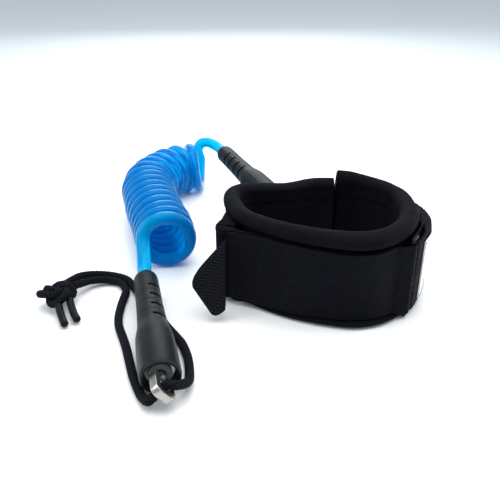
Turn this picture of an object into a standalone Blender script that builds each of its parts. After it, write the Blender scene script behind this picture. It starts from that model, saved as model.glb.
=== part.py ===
"""Coiled bicep leash of a bodyboard: neoprene cuff, curly cord between two swivel grips, string with a knot."""

import math

import bmesh
import bpy
from mathutils import Matrix, Vector

# Driving dimensions, in millimetres. Positions count from the middle of the cuff, on the floor.
MM = 0.001
CUFF_CENTRE = Vector((3.1, -13.6, 0.0))  # the cuff's middle in the part's frame
GAP = 0.3  # between two pieces that touch

PAD_HEIGHT = 51.5
PAD_HALF = 4.7  # half the neoprene's thickness at its rims
PAD_STRAP_FACE = 1.5  # the strap presses the outer face in to this far from the middle
PAD_ROUTE = [
    (12, 37), (0, 38), (-14, 35.5), (-29, 33.5), (-42, 29), (-48, 18), (-46, 2), (-39, -13),
    (-21, -28), (0, -36), (20, -38), (36, -29), (46, -10), (48, 8), (46, 22), (38, 34), (26, 40.5),
    (13.6, 40.5),
]
STRAP_LOW = 2.8
STRAP_HIGH = 43.3
RIM_START = STRAP_HIGH + 1.6  # the top rim bulges out above this
BASE_THICK = 1.4
HOOK_THICK = 0.9
CLOSING_THICK = 1.1
TAB_THICK = 1.4
TAB_CLEAR = 1.3  # between the closing strap's end and the pull tab
TRIM_SIZE = 60.0  # side of the block that trims the pull tab
LABEL_THICK = 0.8
PATCH_THICK = 1.8

BAR_R = 1.1
TAB_ROOT = Vector((-48.6, -20.3, 41.5))  # the pull tab's hinge is the upright line through this
WRAP_R = 1.9  # from a bar's axis to the middle of the strap that turns round it
FRONT_BAR = Vector((42.6, -34.2, 0))
REAR_BAR = Vector((45.5, -29.6, 0))

CORD_D = 8.0
STRING_D = 4.2
COIL_D = 37.5
COIL_ROUTE = [
    (-87.2, 16.2), (-91.5, 35), (-98, 55), (-106, 83), (-110.5, 102), (-109, 120), (-100, 139), (-88, 149),
    (-76, 151),
]

GRIP_LENGTH = 85.0
SLOT_PLACES = (17.0, 26.3, 35.6, 45.0)
SLOT_THICK = 1.7
SLOT_DEEP = 5.2  # radius that a slot reaches in to
SLOT_DEGREES = 105.0
SLOTS_AT = {"board": 30.0, "cuff": 155.0}  # degrees from the grip's local +X to the middle of its slots
CLEAR_OF_GRIP = 10.0  # a radius outside every grip
CORD_BORE = 4.35
CORD_INSIDE = 20.0  # length of cord that is seen to run into the grip
WASHER_PLACE = 81.1
STEM_R = 2.3
EYE_START = 84.6
EYE_TIP = 97.5
EYE_WIDE = 11.6
EYE_THICK = 3.8
EYE_HOLE = (5.8, 7.2)
EYE_WALL = 2.9
STRING_PLACE = EYE_TIP - EYE_WALL - 0.8 - STRING_D / 2  # where the string lies in the eye
BOARD_EYE_LEAN = -50.0  # degrees that each eye is turned about its grip
REAR_EYE_LEAN = 90.0

BOARD_MOUTH = Vector((-95.3, -13.7, 11.9))
BOARD_END = Vector((-76.3, -95.8, 9.8))
REAR_MOUTH = Vector((-58.5, 153.4, 29.6))
REAR_END = Vector((-24.4, 75.9, 22.8))
LOOP_R = 6.0  # bend of the anchor loop, on its middle line

STRING_LEFT = [
    (-80.6, -104.6, 4.4), (-84, -100, 2.5), (-90, -87, 2.3), (-98, -63, 2.3), (-105.4, -43, 2.3),
    (-108.8, -26, 2.3), (-109.8, -12, 2.3), (-114, -4.5, 2.4), (-121.5, -1.5, 3), (-128.5, -4.5, 4.5),
    (-132.4, -10.2, 6.2),
]
STRING_RIGHT = [
    (-68.4, -101, 9.8), (-65, -93, 5.2), (-65.4, -83, 2.4), (-66.8, -73.8, 2.3), (-71, -61, 2.3),
    (-78.5, -49, 2.3), (-88, -33, 2.3), (-97.5, -18, 2.3), (-103.6, -7, 2.3), (-109.5, 1.5, 2.4),
    (-118, 4.8, 3), (-127, 3.4, 4.6), (-134.2, -1.6, 6.4), (-137.6, -7.4, 7.2),
]
KNOT_CENTRE = (-141.5, -20.5, 7.8)
KNOT_RADII = (11.5, 10.5, 7.4)
STRING_TAILS = {
    "string_tail_left": [(-138.4, -32.6, 5.6), (-135.5, -39, 3.4), (-131.8, -46, 2.4)],
    "string_tail_right": [(-132.8, -30.4, 5.8), (-130, -36, 3.6), (-126.4, -41.7, 2.4)],
}


def start_collections():
    for old in list(bpy.data.objects):
        bpy.data.objects.remove(old, do_unlink=True)
    made = {}
    for name in ("coiled_leash", "cutters"):
        made[name] = bpy.data.collections.new(name)
        bpy.context.scene.collection.children.link(made[name])
    made["cutters"].hide_render = True
    return made["coiled_leash"], made["cutters"]


PARTS, CUTTERS = start_collections()


def material(name, colour, roughness, metallic=0.0, alpha=1.0):
    made = bpy.data.materials.new(name)
    made.use_nodes = True
    shader = made.node_tree.nodes["Principled BSDF"]
    shader.inputs["Base Color"].default_value = (*colour, 1.0)
    shader.inputs["Roughness"].default_value = roughness
    shader.inputs["Metallic"].default_value = metallic
    shader.inputs["Alpha"].default_value = alpha
    return made


NEOPRENE = material("neoprene", (0.012, 0.012, 0.014), 0.75)
LOOP_PILE = material("loop_pile", (0.010, 0.010, 0.012), 0.95)
NYLON = material("nylon_strap", (0.012, 0.012, 0.015), 0.6)
WEBBING = material("webbing", (0.014, 0.014, 0.018), 0.8)
BLACK_PLASTIC = material("black_plastic", (0.02, 0.02, 0.022), 0.35)
LABEL = material("label", (0.85, 0.86, 0.87), 0.3)
GRIP_RUBBER = material("grip_rubber", (0.03, 0.03, 0.033), 0.45)
BLUE_CORD = material("blue_cord", (0.0, 0.32, 0.75), 0.12)
STEEL = material("steel", (0.72, 0.70, 0.67), 0.22, 1.0)
GREY_WASHER = material("grey_washer", (0.16, 0.18, 0.20), 0.4)
BRAID = material("braid", (0.010, 0.010, 0.013), 0.85)


def add(name, data, made_of, matrix=None, collection=None):
    """A new object; its matrix is in millimetres from the cuff's middle."""
    piece = bpy.data.objects.new(name, data)
    piece.data.materials.append(made_of)
    (collection or PARTS).objects.link(piece)
    place = matrix or Matrix.Identity(4)
    moved = Matrix.Translation((CUFF_CENTRE + place.translation) * MM)
    piece.matrix_world = moved @ place.to_3x3().to_4x4()
    return piece


def about(pivot):
    """A frame with its origin on an upright joint axis."""
    return Matrix.Translation(Vector((pivot.x, pivot.y, 0)))


def smooth(points, step):
    """Points about step apart on a Catmull-Rom curve through the given ones."""
    given = [Vector(p) for p in points]
    ends = [2 * given[0] - given[1], *given, 2 * given[-1] - given[-2]]
    found = []
    for a, b, c, d in zip(ends, ends[1:], ends[2:], ends[3:]):
        count = max(1, round((c - b).length / step))
        for k in range(count):
            t = k / count
            squared = (2 * a - 5 * b + 4 * c - d) * t**2
            cubed = (3 * b - a - 3 * c + d) * t**3
            found.append(0.5 * (2 * b + (c - a) * t + squared + cubed))
    return found + [given[-1]]


def normals(route):
    """Unit normals in plan, to the right of the way along the route."""
    found = []
    for i in range(len(route)):
        along = route[min(i + 1, len(route) - 1)] - route[max(i - 1, 0)]
        found.append(Vector((along.y, -along.x)).normalized())
    return found


def beside(route, distance):
    """The route moved to its right by a distance."""
    return [p + n * distance for p, n in zip(route, normals(route))]


def reversed_2d(points):
    return [Vector((p[0], p[1])) for p in reversed(points)]


def nearest(route, point):
    return min(range(len(route)), key=lambda i: (route[i] - Vector(point)).length)


def loft(name, route, section, made_of, matrix=None, lift=None):
    """A closed band: a section of (outward, up) points carried along a route in plan."""
    shape = bmesh.new()
    rings = []
    for i, (p, n) in enumerate(zip(route, normals(route))):
        rise = lift(i / (len(route) - 1)) if lift else 0.0
        ring = []
        for out, up in section:
            height = up + rise * max(0.0, (up - RIM_START) / (PAD_HEIGHT - RIM_START))
            ring.append(shape.verts.new(Vector((p.x + n.x * out, p.y + n.y * out, height)) * MM))
        rings.append(ring)
    for one, two in zip(rings, rings[1:]):
        for k in range(len(section)):
            m = (k + 1) % len(section)
            shape.faces.new((one[k], one[m], two[m], two[k]))
    shape.faces.new(rings[0])
    shape.faces.new(list(reversed(rings[-1])))
    bmesh.ops.recalc_face_normals(shape, faces=shape.faces)
    data = bpy.data.meshes.new(name)
    shape.to_mesh(data)
    shape.free()
    return add(name, data, made_of, matrix)


def flat_section(thick, low, high):
    """A thin upright rectangle with its corners taken off."""
    half = thick / 2
    cut = half * 0.5
    return [
        (-half, low + cut), (-half + cut, low), (half - cut, low), (half, low + cut),
        (half, high - cut), (half - cut, high), (-half + cut, high), (-half, high - cut),
    ]


def quarter(centre, across, upwards, steps=3):
    """Points of a quarter ellipse, from straight out to straight up (or down)."""
    angles = [math.pi / 2 * k / steps for k in range(steps + 1)]
    return [(centre[0] + across * math.cos(a), centre[1] + upwards * math.sin(a)) for a in angles]


def pad_section():
    """Rolled rims at both edges and a face pressed in by the strap between them."""
    foot = quarter((2.2, 1.8), 4.6, -1.8)
    top_rim = quarter((0, PAD_HEIGHT - PAD_HALF), PAD_HALF, PAD_HALF)
    inside_top = [(-out, up) for out, up in reversed(top_rim[:-1])]
    inside_low = [(-PAD_HALF, 12.0), (-3.4, 3.0), (-2.2, 0.8), (-0.6, 0.0)]
    outside = [(PAD_STRAP_FACE, STRAP_LOW - 0.5), (PAD_STRAP_FACE, STRAP_HIGH + 0.5)]
    return list(reversed(foot)) + outside + [(PAD_HALF - 0.4, RIM_START)] + top_rim + inside_top + inside_low


def pad_lift(along):
    """The rim dips at the back left, and its far end stands up at the seam."""
    dip = -3.0 * math.exp(-(((along - 0.12) / 0.07) ** 2))
    stand = 3.5 * math.exp(-(((1.0 - along) / 0.05) ** 2))
    return dip + stand


def tube(name, points, diameter, made_of, collection=None, sides=2):
    """A round tube through dense points, as a curve with filled caps."""
    data = bpy.data.curves.new(name, "CURVE")
    data.dimensions = "3D"
    data.bevel_depth = diameter / 2 * MM
    data.bevel_resolution = sides
    data.use_fill_caps = True
    line = data.splines.new("POLY")
    line.points.add(len(points) - 1)
    for place, p in zip(line.points, points):
        place.co = (*(Vector(p) * MM), 1.0)
    return add(name, data, made_of, collection=collection)


def turned(name, profile, made_of, matrix, steps=32):
    """A profile of (radius, place) points turned about the local Z axis."""
    data = bpy.data.meshes.new(name)
    points = [Vector((r, 0, z)) * MM for r, z in profile]
    closed = profile[0][0] > 0
    edges = [(i, i + 1) for i in range(len(points) - 1)]
    if closed:
        edges.append((len(points) - 1, 0))
    data.from_pydata(points, edges, [])
    piece = add(name, data, made_of, matrix)
    screw = piece.modifiers.new("turn", "SCREW")
    screw.steps = steps
    screw.render_steps = steps
    screw.use_merge_vertices = True
    screw.merge_threshold = 0.00001
    return piece


def axis_frame(start, end, turn_up):
    """Local +Z runs from start to end, and local +Y leans towards turn_up."""
    along = (end - start).normalized()
    side = turn_up.cross(along).normalized()
    up = along.cross(side)
    frame = Matrix((side, up, along)).transposed().to_4x4()
    frame.translation = start
    return frame


def slot_cutter(name, matrix, middle):
    """Four ring sectors that cut the grip's finger slots."""
    shape = bmesh.new()
    count = 8
    for place in SLOT_PLACES:
        rows = []
        for k in range(count + 1):
            angle = math.radians(middle + SLOT_DEGREES * (k / count - 0.5))
            outwards = Vector((math.cos(angle), math.sin(angle), 0))
            for radius in (SLOT_DEEP, CLEAR_OF_GRIP):
                for side in (-0.5, 0.5):
                    corner = outwards * radius + Vector((0, 0, place + side * SLOT_THICK))
                    rows.append(shape.verts.new(corner * MM))
        for k in range(count):
            a, b = rows[4 * k : 4 * k + 4], rows[4 * k + 4 : 4 * k + 8]
            for i, j in ((0, 1), (1, 3), (3, 2), (2, 0)):
                shape.faces.new((a[i], a[j], b[j], b[i]))
        shape.faces.new((rows[0], rows[2], rows[3], rows[1]))
        last = rows[4 * count :]
        shape.faces.new((last[0], last[1], last[3], last[2]))
    bmesh.ops.recalc_face_normals(shape, faces=shape.faces)
    data = bpy.data.meshes.new(name)
    shape.to_mesh(data)
    shape.free()
    cutter = add(name, data, GRIP_RUBBER, matrix, CUTTERS)
    cutter.hide_render = True
    cutter.display_type = "WIRE"
    return cutter


def cut(piece, cutter, operation="DIFFERENCE"):
    step = piece.modifiers.new(cutter.name, "BOOLEAN")
    step.object = cutter
    step.operation = operation
    step.solver = "EXACT"


def build_grip(side, matrix):
    """One moulded grip with the swivel's fixed pieces inside it."""
    grip = turned(
        f"{side}_grip",
        [
            (CORD_BORE, 0), (CORD_BORE, 48), (5.7, 48), (5.7, 58.2), (2.0, 58.2), (2.0, 60.6), (7.05, 60.6),
            (7.05, 82.5), (7.8, GRIP_LENGTH), (8.5, GRIP_LENGTH), (9.2, 84.2), (9.4, 83), (9.4, 75), (9.3, 67),
            (8.95, 57), (8.5, 53.5), (7.7, 49.5), (7.25, 46), (6.7, 29), (6.6, 4.2), (6.35, 2.4), (5.8, 1.0),
            (5.1, 0),
        ],
        GRIP_RUBBER,
        matrix,
        40,
    )
    cut(grip, slot_cutter(f"{side}_slots", matrix, SLOTS_AT[side]))
    turned(
        f"{side}_cord_stop",
        [
            (0, 57.8), (5.3, 57.8), (5.3, 48.4), (CORD_D / 2, 48.4), (CORD_D / 2, CORD_INSIDE + GAP),
            (0, CORD_INSIDE + GAP),
        ],
        BLUE_CORD,
        matrix,
        16,
    )
    turned(
        f"{side}_swivel_barrel",
        [
            (0, 64), (4.9, 64), (4.9, 72), (2.7, 72), (2.7, 80.7), (6.7, 80.7), (6.7, 61), (0, 61),
        ],
        STEEL,
        matrix,
        24,
    )
    turned(
        f"{side}_swivel_washer",
        [
            (2.6, WASHER_PLACE), (2.6, WASHER_PLACE + 1.5), (5.0, WASHER_PLACE + 1.5), (5.3, WASHER_PLACE + 1.2),
            (5.3, WASHER_PLACE),
        ],
        GREY_WASHER,
        matrix,
        24,
    )


def build_eye(side, matrix, lean_degrees):
    """Stem and head as one turned piece, with the flat eye forged on its end."""
    eye = turned(
        f"{side}_swivel_eye",
        [(0, EYE_START + 1.5), (STEM_R, EYE_START + 1.5), (STEM_R, 71.4), (4.5, 71.4), (4.5, 65), (0, 65)],
        STEEL,
        matrix,
        24,
    )
    lean = matrix @ Matrix.Rotation(math.radians(lean_degrees), 4, "Z")
    plate = bmesh.new()
    bmesh.ops.create_cube(plate, size=1.0)
    length = EYE_TIP - EYE_START
    plate_matrix = Matrix.Translation((0, 0, (EYE_START + EYE_TIP) / 2 * MM)) @ Matrix.Diagonal(
        (EYE_WIDE * MM, EYE_THICK * MM, length * MM, 1)
    )
    bmesh.ops.transform(plate, matrix=plate_matrix, verts=plate.verts)
    tip = [e for e in plate.edges if all(v.co.z > EYE_START * MM + 0.001 for v in e.verts)]
    across = [e for e in tip if abs(e.verts[0].co.y - e.verts[1].co.y) > 0.001]
    bmesh.ops.bevel(plate, geom=across, offset=3.4 * MM, segments=4, profile=0.5, affect="EDGES")
    data = bpy.data.meshes.new(f"{side}_eye_plate")
    plate.to_mesh(data)
    plate.free()
    outer = add(data.name, data, STEEL, lean, CUTTERS)
    hole_shape = bmesh.new()
    bmesh.ops.create_cube(hole_shape, size=1.0)
    middle = EYE_TIP - EYE_WALL - EYE_HOLE[1] / 2
    hole_matrix = Matrix.Translation((0, 0, middle * MM)) @ Matrix.Diagonal(
        (EYE_HOLE[0] * MM, 3 * EYE_THICK * MM, EYE_HOLE[1] * MM, 1)
    )
    bmesh.ops.transform(hole_shape, matrix=hole_matrix, verts=hole_shape.verts)
    ends = [e for e in hole_shape.edges if abs(e.verts[0].co.y - e.verts[1].co.y) > 0.001]
    bmesh.ops.bevel(hole_shape, geom=ends, offset=2.0 * MM, segments=3, profile=0.5, affect="EDGES")
    hole_data = bpy.data.meshes.new(f"{side}_eye_hole")
    hole_shape.to_mesh(hole_data)
    hole_shape.free()
    hole = add(hole_data.name, hole_data, STEEL, lean, CUTTERS)
    for helper in (outer, hole):
        helper.hide_render = True
        helper.display_type = "WIRE"
    cut(eye, outer, "UNION")
    cut(eye, hole)


def build_cuff():
    pad_route = smooth(PAD_ROUTE, 5.0)
    loft("cuff_pad", pad_route, pad_section(), NEOPRENE, lift=pad_lift)

    # The straps follow the pad, and the base strap leaves it at the loose front left corner.
    hug = PAD_STRAP_FACE + GAP + BASE_THICK / 2
    fine = smooth(PAD_ROUTE, 2.5)
    base_side = beside(fine, hug)
    back_left = base_side[nearest(fine, (-8, 37)) : nearest(fine, (-43, 28))]
    front = base_side[nearest(fine, (-19, -29)) : nearest(fine, (40, -23.5))]
    right = base_side[nearest(fine, (46, -12)) : nearest(fine, (30, 39))]
    corner = [
        (-48.5, 26), (-51, 19), (-50.6, 9), (-50.4, 1), (-52.8, -7), (-55.4, -13.6), (-53.4, -17.6), (-46, -19.6),
        (-37, -22.4),
    ]
    seam = [Vector((24, 44.1)), Vector((12, 43.7)), Vector((3, 41.8))]
    left_part = smooth([*seam, *back_left[::3], *corner, *front[2::3]], 3.0)
    base_route = [*right[::2], *left_part]
    loft("base_strap", base_route, flat_section(BASE_THICK, STRAP_LOW, STRAP_HIGH), LOOP_PILE)

    # Webbing round the ring's rear bar and back along the right side.
    inner = beside(right, BASE_THICK / 2 + GAP + TAB_THICK / 2)
    outward = Vector((0.86, -0.51))
    turn = []
    for k in range(9):
        angle = math.radians(149 + k * 22.5)
        turn.append(REAR_BAR.xy + WRAP_R * Vector((math.cos(angle), math.sin(angle))))
    outer = [(49, -27.6), (53.2, -19.5), (57, -9), (58.4, 3), (55.5, 18), (46.5, 35)]
    lead_in = beside(right, hug + 2.4)[2]
    inner_run = reversed_2d([lead_in, *inner[5:-1:3]])
    tab_route = smooth([*inner_run, *turn], 2.5) + smooth([turn[-1], *outer], 4.0)[1:]
    tab = loft("ring_tab", tab_route, flat_section(TAB_THICK, STRAP_LOW, STRAP_HIGH), WEBBING)
    label_route = beside(smooth(outer, 3.0), TAB_THICK / 2 + GAP + LABEL_THICK / 2)
    loft("label_patch", label_route[1:-3], flat_section(LABEL_THICK, 6.5, 40.0), LABEL)

    # The ring: two upright bars joined above and below the strap.
    ring_line = []
    middle = (FRONT_BAR + REAR_BAR) / 2
    half = (REAR_BAR - FRONT_BAR).length / 2
    along = (REAR_BAR - FRONT_BAR).normalized()
    for level, first in ((STRAP_HIGH + GAP + BAR_R, 0), (STRAP_LOW - GAP - BAR_R, 180)):
        for k in range(5):
            angle = math.radians(first + 45 * k)
            height = level + 0.08 * half * math.sin(angle)
            ring_line.append(middle + along * half * math.cos(angle) + Vector((0, 0, height)))
    ring_data = bpy.data.curves.new("strap_ring", "CURVE")
    ring_data.dimensions = "3D"
    ring_data.bevel_depth = BAR_R * MM
    ring_data.bevel_resolution = 2
    line = ring_data.splines.new("POLY")
    line.use_cyclic_u = True
    line.points.add(len(ring_line) - 1)
    for place, p in zip(line.points, ring_line):
        place.co = (*((p - Vector((*REAR_BAR.xy, 0))) * MM), 1.0)
    add("strap_ring", ring_data, BLACK_PLASTIC, about(REAR_BAR))

    # Closing strap: over the hook panel, then round the ring's front bar.
    over_base = left_part[nearest(left_part, (-49, -19)) : nearest(left_part, (34, -33)) + 1]
    closing_off = BASE_THICK / 2 + 2 * GAP + HOOK_THICK + CLOSING_THICK / 2
    hug_line = beside(over_base, closing_off)
    tangent = along.xy
    lead = FRONT_BAR.xy - tangent * 4.4 - outward * 2.6
    wrap = []
    for k in range(9):
        angle = math.radians(-100 + k * 28)
        wrap.append(FRONT_BAR.xy + WRAP_R * Vector((math.cos(angle), math.sin(angle))))
    closing = smooth([*hug_line[::3], lead, *wrap], 2.5)
    closing = [p - FRONT_BAR.xy for p in closing]
    loft("closing_strap", closing, flat_section(CLOSING_THICK, STRAP_LOW, STRAP_HIGH), NYLON, about(FRONT_BAR))
    hook_off = BASE_THICK / 2 + GAP + HOOK_THICK / 2
    hook = beside(over_base[1:18], hook_off)
    loft(
        "hook_panel",
        [p - FRONT_BAR.xy for p in hook],
        flat_section(HOOK_THICK, STRAP_LOW + 1, STRAP_HIGH - 1),
        LOOP_PILE,
        about(FRONT_BAR),
    )
    return hug_line[0], base_route


def build_pull_tab(strap_end):
    """A short webbing loop sewn to the free end of the closing strap, hanging forwards and down."""
    fold = Vector((0.533, -0.158, -0.831)).normalized()
    length = Vector((-14.5, -10, -14)).normalized()
    length = (length - fold * length.dot(fold)).normalized()
    across = fold.cross(length)
    frame = Matrix((length, across, fold)).transposed().to_4x4()
    frame.translation = TAB_ROOT
    half_gap = 2.3
    shape = [(2, 0.95), (8, 1.3), (17, half_gap), (23, half_gap), (25.6, 1.5), (26.4, 0)]
    route = [Vector((x, -y)) for x, y in shape] + [Vector(p) for p in reversed_2d(shape[:-1])]
    band = loft("pull_tab", smooth(route, 2.0), flat_section(1.5, 0, 25), WEBBING, frame)
    skew = Matrix.Identity(4)
    skew[2][0] = 0.25
    band.data.transform(skew)
    trim = bmesh.new()
    bmesh.ops.create_cube(trim, size=TRIM_SIZE * MM)
    data = bpy.data.meshes.new("pull_tab_trim")
    trim.to_mesh(data)
    trim.free()
    trimmer = add(data.name, data, WEBBING, Matrix.Translation((strap_end.x - TAB_CLEAR + TRIM_SIZE / 2, -20, 20)), CUTTERS)
    trimmer.hide_render = True
    trimmer.display_type = "WIRE"
    cut(band, trimmer)


def build_anchor(rear, base_route):
    """The cord loop on the back of the cuff that holds the rear swivel's eye."""
    eye_point = rear @ Vector((0, 0, STRING_PLACE))
    away = (REAR_END - REAR_MOUTH).xy.normalized()
    centre = eye_point.xy + away * LOOP_R
    height = eye_point.z
    start_y = 41.9
    line = [Vector((centre.x + LOOP_R, start_y, height)), Vector((centre.x + LOOP_R, centre.y - 6, height))]
    for k in range(11):
        angle = math.radians(k * 18)
        line.append(Vector((centre.x + LOOP_R * math.cos(angle), centre.y + LOOP_R * math.sin(angle), height)))
    line += [Vector((centre.x - LOOP_R, centre.y - 6, height)), Vector((centre.x - LOOP_R, start_y, height))]
    tube("anchor_loop", line, STRING_D, BRAID)
    low, high = nearest(base_route, (centre.x + 14, 40)), nearest(base_route, (centre.x - 14, 38))
    patch = beside(base_route[low : high + 1], BASE_THICK / 2 + GAP + PATCH_THICK / 2)
    loft("anchor_patch", patch, flat_section(PATCH_THICK, 8, 38), WEBBING)
    return centre


def build_line(rear, board):
    """Curly cord and its plain ends, as one tube for each stretch."""
    coil = smooth([Vector((*p, COIL_D / 2)) for p in COIL_ROUTE], 12.0)
    tube("coil", coil, COIL_D, BLUE_CORD, sides=7)
    wind = (COIL_D - CORD_D) / 2
    front_dir = (coil[0] - coil[1]).normalized()
    front_start = coil[0] + front_dir.cross(Vector((0, 0, 1))).normalized() * wind * 0.99 + front_dir * GAP
    front = [
        board @ Vector((0, 0, CORD_INSIDE)),
        board @ Vector((0, 0, 8)),
        board @ Vector((0, 0, -5)),
        board @ Vector((0, 0, -14)) + Vector((-1.2, 0, 1.4)),
        front_start + front_dir * 9 + Vector((0.3, 0, -1.6)),
        front_start + front_dir * 3,
        front_start,
    ]
    tube("cord_front", smooth(front, 9.0), CORD_D, BLUE_CORD)
    back_dir = (coil[-1] - coil[-2]).normalized()
    side = Vector((-back_dir.y, back_dir.x, 0))
    back_start = coil[-1] + side * wind * 0.75 + Vector((0, 0, wind * 0.66)) + back_dir * GAP
    back = [
        back_start,
        back_start + back_dir * 2.5,
        rear @ Vector((0, 0, -9)) + Vector((-1.0, 0.6, 1.2)),
        rear @ Vector((0, 0, -2)),
        rear @ Vector((0, 0, 8)),
        rear @ Vector((0, 0, CORD_INSIDE)),
    ]
    tube("cord_back", smooth(back, 7.0), CORD_D, BLUE_CORD)


def build_string(board):
    """Two strands of braided string from the board eye to the knot, and the tails beyond it."""
    lean = Matrix.Rotation(math.radians(BOARD_EYE_LEAN), 4, "Z")
    through = (board @ lean).to_3x3() @ Vector((0, 1, 0))
    eye_point = board @ Vector((0, 0, STRING_PLACE))
    if through.z < 0:
        through = -through
    left = [eye_point - through * GAP / 2, eye_point - through * 3.4, *STRING_LEFT]
    right = [eye_point + through * GAP / 2, eye_point + through * 3.2, *STRING_RIGHT]
    tube("string_left", smooth(left, 7.0), STRING_D, BRAID)
    tube("string_right", smooth(right, 7.0), STRING_D, BRAID)
    ball = bmesh.new()
    bmesh.ops.create_uvsphere(ball, u_segments=20, v_segments=12, radius=1.0)
    bmesh.ops.scale(ball, vec=Vector(KNOT_RADII) * MM, verts=ball.verts)
    data = bpy.data.meshes.new("string_knot")
    ball.to_mesh(data)
    ball.free()
    add("string_knot", data, BRAID, Matrix.Translation(KNOT_CENTRE))
    for name, points in STRING_TAILS.items():
        tube(name, smooth(points, 6.0), STRING_D, BRAID)


def hang_from(pivot, names):
    """An empty on the anchor's upright axis, which carries the pieces that swing about it."""
    empty = bpy.data.objects.new("line_pivot", None)
    PARTS.objects.link(empty)
    empty.location = Vector((pivot.x, pivot.y, 0)) * MM + CUFF_CENTRE * MM
    for name in names:
        bpy.data.objects[name].parent = empty
        bpy.data.objects[name].matrix_parent_inverse = Matrix.Translation(-empty.location)


def main():
    up = Vector((0, 0, 1))
    board = axis_frame(BOARD_MOUTH, BOARD_END, up)
    rear = axis_frame(REAR_MOUTH, REAR_END, up)
    strap_end, base_route = build_cuff()
    build_pull_tab(strap_end)
    anchor_centre = build_anchor(rear, base_route)
    build_line(rear, board)
    for side, matrix, lean in (("board", board, BOARD_EYE_LEAN), ("cuff", rear, REAR_EYE_LEAN)):
        build_grip(side, matrix)
        build_eye(side, matrix, lean)
    build_string(board)
    hang_from(anchor_centre, ("coil", "cord_back", "cuff_swivel_eye"))


main()
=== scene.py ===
"""Looks of the coiled leash: padded cuff, straps, curly cord, swivel grips and string."""

import math

import bmesh
import bpy
import numpy as np
from mathutils import Matrix, Vector, noise

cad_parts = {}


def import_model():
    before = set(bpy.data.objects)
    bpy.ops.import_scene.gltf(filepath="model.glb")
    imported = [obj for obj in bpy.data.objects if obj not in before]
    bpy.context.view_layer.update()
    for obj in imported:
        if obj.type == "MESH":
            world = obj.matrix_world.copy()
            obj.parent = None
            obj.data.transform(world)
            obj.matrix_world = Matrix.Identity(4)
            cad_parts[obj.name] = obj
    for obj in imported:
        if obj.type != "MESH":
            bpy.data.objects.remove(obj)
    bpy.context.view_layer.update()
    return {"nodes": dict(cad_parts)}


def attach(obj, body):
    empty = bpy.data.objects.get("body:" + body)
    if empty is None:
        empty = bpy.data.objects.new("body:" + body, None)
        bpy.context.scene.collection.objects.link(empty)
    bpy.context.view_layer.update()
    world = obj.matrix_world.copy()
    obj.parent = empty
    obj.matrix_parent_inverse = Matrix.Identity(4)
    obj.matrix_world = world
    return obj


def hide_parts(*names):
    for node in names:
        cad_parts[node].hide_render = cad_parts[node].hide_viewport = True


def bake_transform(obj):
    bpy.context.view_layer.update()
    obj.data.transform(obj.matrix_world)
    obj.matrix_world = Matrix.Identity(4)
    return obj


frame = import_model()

# Sizes and places are in millimetres from the middle of the cuff, on the floor, as in the part.
MM = 0.001
CUFF_CENTRE = Vector((3.1, -13.6, 0.0))
GAP = 0.3
UP = Vector((0, 0, 1))

PAD_HEIGHT = 51.5
PAD_HALF = 4.7
PAD_STRAP_FACE = 1.5
PAD_ROUTE = [
    (12, 37), (0, 38), (-14, 35.5), (-29, 33.5), (-42, 29), (-48, 18), (-46, 2), (-39, -13),
    (-21, -28), (0, -36), (20, -38), (36, -29), (46, -10), (48, 8), (46, 22), (38, 34), (26, 40.5),
    (13.6, 40.5),
]
SEAM_HEIGHT = 38.2  # the sewn line along the pad's inner face
STRAP_LOW = 2.8
STRAP_HIGH = 43.3
RIM_START = STRAP_HIGH + 1.6
BASE_THICK = 1.4
HOOK_THICK = 0.9
CLOSING_THICK = 1.1
TAB_THICK = 1.4
LABEL_THICK = 0.8
PATCH_THICK = 1.8
WRAP_R = 1.9
FRONT_BAR = Vector((42.6, -34.2, 0))
REAR_BAR = Vector((45.5, -29.6, 0))
TAB_ROOT = Vector((-48.6, -20.3, 41.5))

CORD_D = 8.0
STRING_D = 4.2
BRAID_YARNS = 6  # diamonds round the string
COIL_D = 37.5
COIL_ROUTE = [
    (-87.2, 16.2), (-91.5, 35), (-98, 55), (-106, 83), (-110.5, 102), (-109, 120), (-100, 139), (-88, 149),
    (-76, 151),
]
WIND_R = (COIL_D - CORD_D) / 2
WHOLE_TURNS = 16
LAST_DEGREES = 6.0  # the winding ends this far past its whole turns
FIRST_DEGREES = 42.0  # and starts this far into its first turn, where the plain end joins it
POINTS_PER_TURN = 24

GRIP_LENGTH = 85.0
SLOT_PLACES = (17.0, 26.3, 35.6, 45.0)
GROOVE_PLACES = (21.6, 30.9, 40.3)
SLOT_THICK = 1.7
SLOT_DEEP = 5.2
SLOT_DEGREES = 105.0
SLOTS_AT = {"board": 30.0, "cuff": 155.0}
RIDGE_PAST_SLOTS = 142.0
CORD_BORE = 4.35
CORD_INSIDE = 20.0
WASHER_PLACE = 81.1
WASHER_PROFILE = ((5.3, 0), (5.3, 1.1), (4.9, 1.5), (2.8, 1.5), (2.6, 1.3), (2.6, 0))  # (radius, place)
STEM_R = 2.3
EYE_START = 84.6
EYE_TIP = 97.5
EYE_WIDE = 11.6
EYE_THICK = 3.8
EYE_HOLE = (5.8, 7.2)
EYE_WALL = 2.9
STRING_PLACE = EYE_TIP - EYE_WALL - 0.8 - STRING_D / 2
BOARD_EYE_LEAN = -50.0
REAR_EYE_LEAN = 90.0

REAR_BEND = [(-64.6, 163.4, 31.6), (-71.6, 166.9, 33.7), (-77.4, 168.1, 32.3), (-80.0, 167.4, 27.2)]
# To the left of the coil's front end, above it and ahead of it.
FRONT_BEND = [(12.9, 7.2, 0.6), (13.7, 3.4, 3.6), (13.9, -2.0, 11.4)]

BOARD_MOUTH = Vector((-95.3, -13.7, 11.9))
BOARD_END = Vector((-76.3, -95.8, 9.8))
REAR_MOUTH = Vector((-58.5, 153.4, 29.6))
REAR_END = Vector((-24.4, 75.9, 22.8))
LOOP_R = 6.0
LOOP_START_Y = 41.9

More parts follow.
